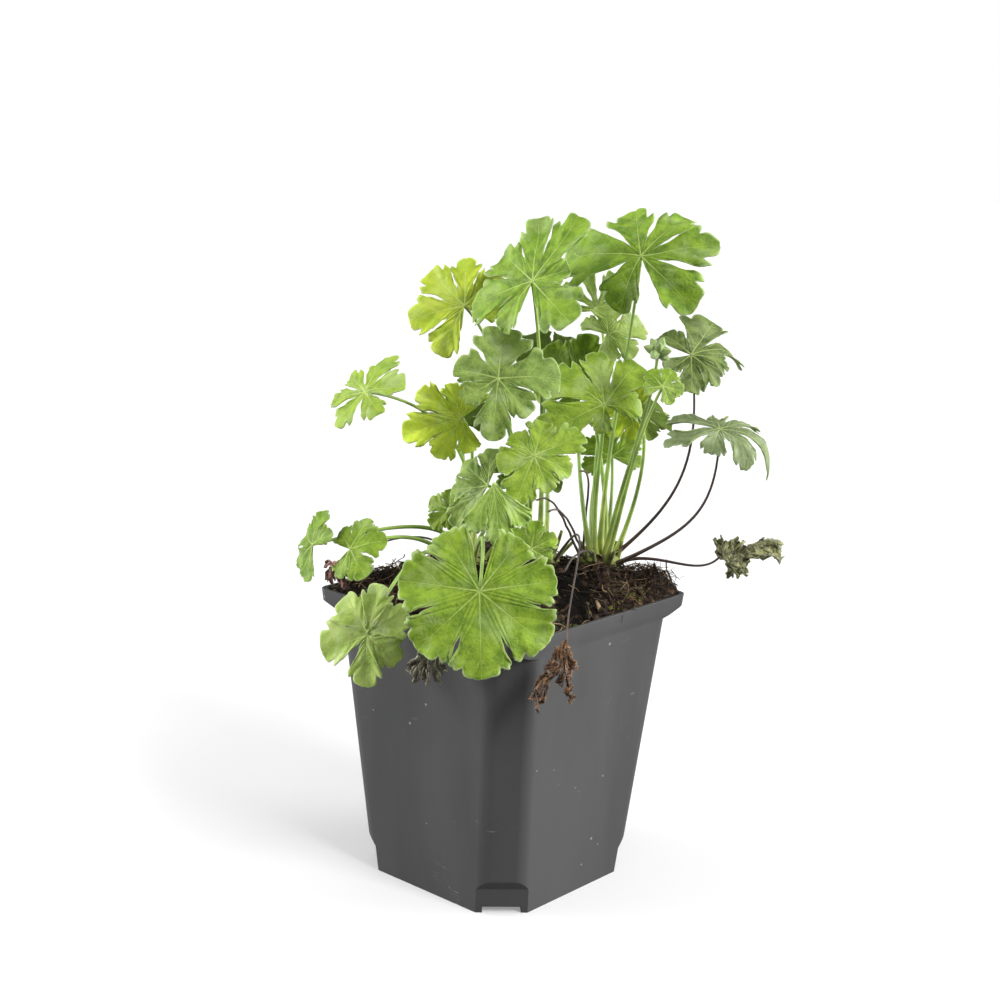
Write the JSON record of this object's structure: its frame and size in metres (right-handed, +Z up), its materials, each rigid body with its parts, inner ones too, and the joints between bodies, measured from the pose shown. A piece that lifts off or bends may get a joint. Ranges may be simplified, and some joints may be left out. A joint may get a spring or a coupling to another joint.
{
  "type": "hardy geranium in a pot",
  "caption": "Young hardy geranium with lobed leaves on long stalks, some withered, in a square dark grey plastic nursery pot.",
  "frame": {"origin": "centre of the pot's base, on the ground", "axes": "+Z up; the pot's flat sides look along +X, -X, +Y and -Y; the plant's front is 41.5 degrees from -Y towards +X"},
  "size_m": [0.1325, 0.1433, 0.2301],
  "materials": {
    "pot_plastic": "dark grey, satin, lightly scuffed moulded plastic",
    "peat": "damp fibrous peat, matt",
    "crown_bark": "rough brown-green stalk bases",
    "leaf_green": "soft green leaf, finely haired, pale veins",
    "leaf_yellow_green": "young yellow-green leaf",
    "leaf_dark_green": "dark green ageing leaf",
    "withered_leaf": "dry brown leaf or stalk",
    "bud_green": "hairy green flower buds"
  },
  "bodies": {
    "root": {"leaf_top_right": "leaf_green", "leaf_top_middle": "leaf_green", "leaf_top_left": "leaf_yellow_green", "leaf_far_left": "leaf_green", "leaf_left_yellow": "leaf_yellow_green", "leaf_left_dark": "leaf_green", "leaf_centre": "leaf_green", "leaf_centre_back": "leaf_green", "leaf_pale": "leaf_green", "leaf_folded_young": "leaf_green", "leaf_right_dark": "leaf_dark_green", "leaf_right_drooping": "leaf_dark_green", "leaf_right_small": "leaf_green", "leaf_bright_low": "leaf_yellow_green", "leaf_low_middle": "leaf_green", "leaf_middle_round": "leaf_yellow_green", "leaf_folded_left": "leaf_green", "leaf_hanging": "leaf_green", "leaf_low_back": "leaf_yellow_green", "leaf_front": "leaf_green", "leaf_front_left": "leaf_green", "leaf_corner": "leaf_green", "leaf_corner_outer": "leaf_green", "leaf_ruffled": "leaf_green", "leaf_back_high": "leaf_green", "leaf_back_right": "leaf_green", "leaf_back_left": "leaf_green", "leaf_back_low": "leaf_green", "withered_front": "withered_leaf", "withered_grey": "withered_leaf", "withered_right": "withered_leaf", "withered_left": "withered_leaf", "dry_stalk_arched": "withered_leaf", "dry_stalk_upright": "withered_leaf", "dry_stalk_crossing": "withered_leaf", "dry_stalk_low": "withered_leaf", "bud_cluster": "bud_green", "crown_right": "crown_bark", "crown_middle": "crown_bark", "crown_left": "crown_bark", "pot": "pot_plastic", "root_ball": "peat"}
  },
  "joints": []
}
